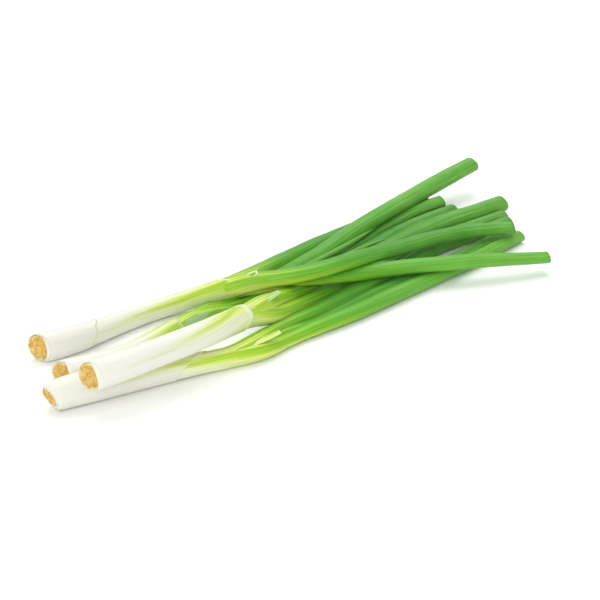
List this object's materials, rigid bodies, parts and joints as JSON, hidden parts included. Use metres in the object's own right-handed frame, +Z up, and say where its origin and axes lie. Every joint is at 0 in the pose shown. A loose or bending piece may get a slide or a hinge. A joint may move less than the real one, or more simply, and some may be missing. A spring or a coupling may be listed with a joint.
{
  "type": "spring onion bunch",
  "caption": "Bunch of whole spring onions lying loosely on one another, with white stalks, trimmed root plates and long hollow green leaves cut off square.",
  "frame": {"origin": "middle of the underside of the whole bunch, on the surface that it lies on", "axes": "+X along the bunch from the roots to the cut leaf ends, +Y across it towards the back of the picture, +Z up"},
  "size_m": [0.3668, 0.1268, 0.0309],
  "materials": {
    "white_sheath": "smooth white leaf skin with a soft gloss",
    "pale_stalk": "pale yellow-green striped leaf skin",
    "root_plate": "dry fibrous cut plate",
    "sheath_tongue": "thin half-clear leaf skin",
    "green_leaf": "green leaf with a waxy bloom",
    "bright_leaf": "yellow-green leaf with a soft gloss"
  },
  "bodies": {
    "root": {"onion_a_root_plate": "root_plate", "onion_a_stalk": "pale_stalk", "onion_a_outer_sheath": "white_sheath", "onion_a_sheath_tongue": "sheath_tongue", "onion_a_leaf_back": "green_leaf", "onion_a_leaf_low": "bright_leaf", "onion_a_leaf_wide": "green_leaf", "onion_b_root_plate": "root_plate", "onion_b_stalk": "pale_stalk", "onion_b_outer_sheath": "white_sheath", "onion_b_sheath_tongue": "sheath_tongue", "onion_b_leaf_low": "bright_leaf", "onion_b_leaf_wide": "green_leaf", "onion_c_root_plate": "root_plate", "onion_c_stalk": "pale_stalk", "onion_c_outer_sheath": "white_sheath", "onion_c_sheath_tongue": "sheath_tongue", "onion_c_leaf_dark": "green_leaf", "onion_c_leaf_tall": "green_leaf", "onion_c_leaf_young": "bright_leaf", "onion_c_leaf_second": "green_leaf", "onion_c_leaf_little": "bright_leaf", "onion_d_root_plate": "root_plate", "onion_d_stalk": "pale_stalk", "onion_d_outer_sheath": "white_sheath", "onion_d_sheath_tongue": "sheath_tongue", "onion_d_leaf_dark": "green_leaf", "onion_d_leaf_low": "bright_leaf", "onion_d_leaf_back": "green_leaf"}
  },
  "joints": []
}
